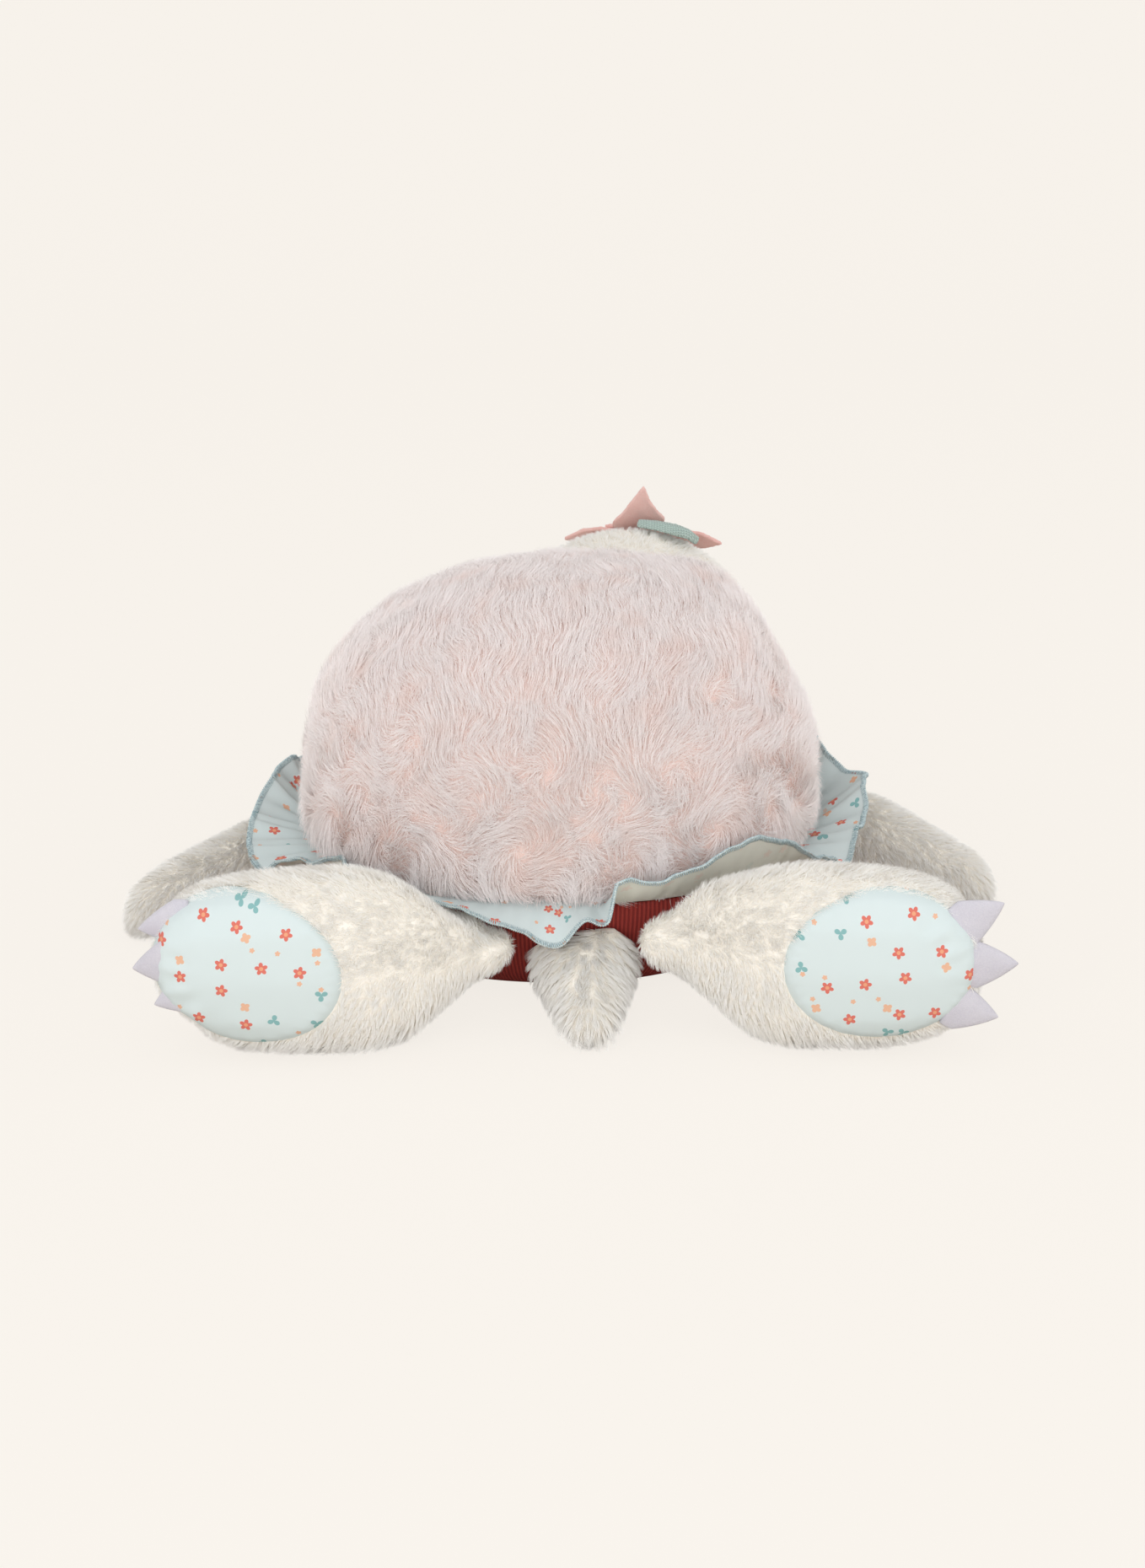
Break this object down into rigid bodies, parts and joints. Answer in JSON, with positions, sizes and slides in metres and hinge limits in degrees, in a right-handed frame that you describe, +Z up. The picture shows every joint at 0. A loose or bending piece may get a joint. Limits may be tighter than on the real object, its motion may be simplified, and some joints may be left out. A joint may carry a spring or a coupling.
{
  "type": "plush turtle",
  "caption": "Stuffed turtle lying on its belly: furry domed shell, gathered frill, four soft legs with soles and claws, head with a felt flower, short tail.",
  "frame": {"origin": "middle of the flat patch of the belly on which the turtle rests", "axes": "+Z up, +Y towards the head, +X to the turtle's right"},
  "size_m": [0.4682, 0.457, 0.198],
  "materials": {
    "long_pile": "dusty pink long pile",
    "cream_plush": "cream short plush",
    "rib_cloth": "terracotta fine rib",
    "printed_cotton": "pale mint cotton, small scattered print",
    "claw_felt": "lilac grey felt",
    "petal_felt": "salmon felt",
    "leaf_knit": "mint knit",
    "eye_thread": "dark brown satin stitch",
    "stuffing": "white fibre"
  },
  "bodies": {
    "body": {"shell_cover": "long_pile", "belly_panel": "rib_cloth", "ruffle": "printed_cotton", "body_filling": "stuffing"},
    "head": {"head_cover": "cream_plush", "head_filling": "stuffing", "eye_left": "eye_thread", "eye_right": "eye_thread", "mouth_stitch": "eye_thread", "flower_petals_outer": "petal_felt", "flower_petals_inner": "petal_felt", "flower_heart": "petal_felt", "leaf": "leaf_knit"},
    "tail": {"tail_cover": "cream_plush", "tail_filling": "stuffing"},
    "hind_leg_left": {"hind_leg_cover_left": "cream_plush", "hind_leg_filling_left": "stuffing", "hind_sole_left": "printed_cotton", "hind_claw_left_1": "claw_felt", "hind_claw_left_2": "claw_felt", "hind_claw_left_3": "claw_felt"},
    "front_leg_left": {"front_leg_cover_left": "cream_plush", "front_leg_filling_left": "stuffing"},
    "hind_leg_right": {"hind_leg_cover_right": "cream_plush", "hind_leg_filling_right": "stuffing", "hind_sole_right": "printed_cotton", "hind_claw_right_1": "claw_felt", "hind_claw_right_2": "claw_felt", "hind_claw_right_3": "claw_felt"},
    "front_leg_right": {"front_leg_cover_right": "cream_plush", "front_leg_filling_right": "stuffing"}
  },
  "joints": [
    {"name": "head_nod", "type": "hinge", "parent": "body", "child": "head", "pos_m": [0.019, 0.113, 0.034], "axis": [-1, 0, 0], "range_deg": [0, 12], "stiffness_Nm_per_rad": 1.2, "springref_deg": -3.44},
    {"name": "tail_lift", "type": "hinge", "parent": "body", "child": "tail", "pos_m": [0.013, -0.119, 0.048], "axis": [-1, 0, 0], "range_deg": [0, 8], "stiffness_Nm_per_rad": 0.05},
    {"name": "hind_leg_left_swing", "type": "hinge", "parent": "body", "child": "hind_leg_left", "pos_m": [-0.0218, -0.1185, 0.044], "axis": [0, 0, 1], "range_deg": [0, 18], "stiffness_Nm_per_rad": 0.3},
    {"name": "hind_leg_right_swing", "type": "hinge", "parent": "body", "child": "hind_leg_right", "pos_m": [0.0474, -0.1175, 0.044], "axis": [0, 0, -1], "range_deg": [0, 18], "stiffness_Nm_per_rad": 0.3},
    {"name": "front_leg_left_swing", "type": "hinge", "parent": "body", "child": "front_leg_left", "pos_m": [-0.069, 0.0915, 0.028], "axis": [0, 0, -1], "range_deg": [0, 22], "stiffness_Nm_per_rad": 0.3},
    {"name": "front_leg_right_swing", "type": "hinge", "parent": "body", "child": "front_leg_right", "pos_m": [0.0766, 0.0945, 0.028], "axis": [0, 0, 1], "range_deg": [0, 22], "stiffness_Nm_per_rad": 0.3}
  ]
}
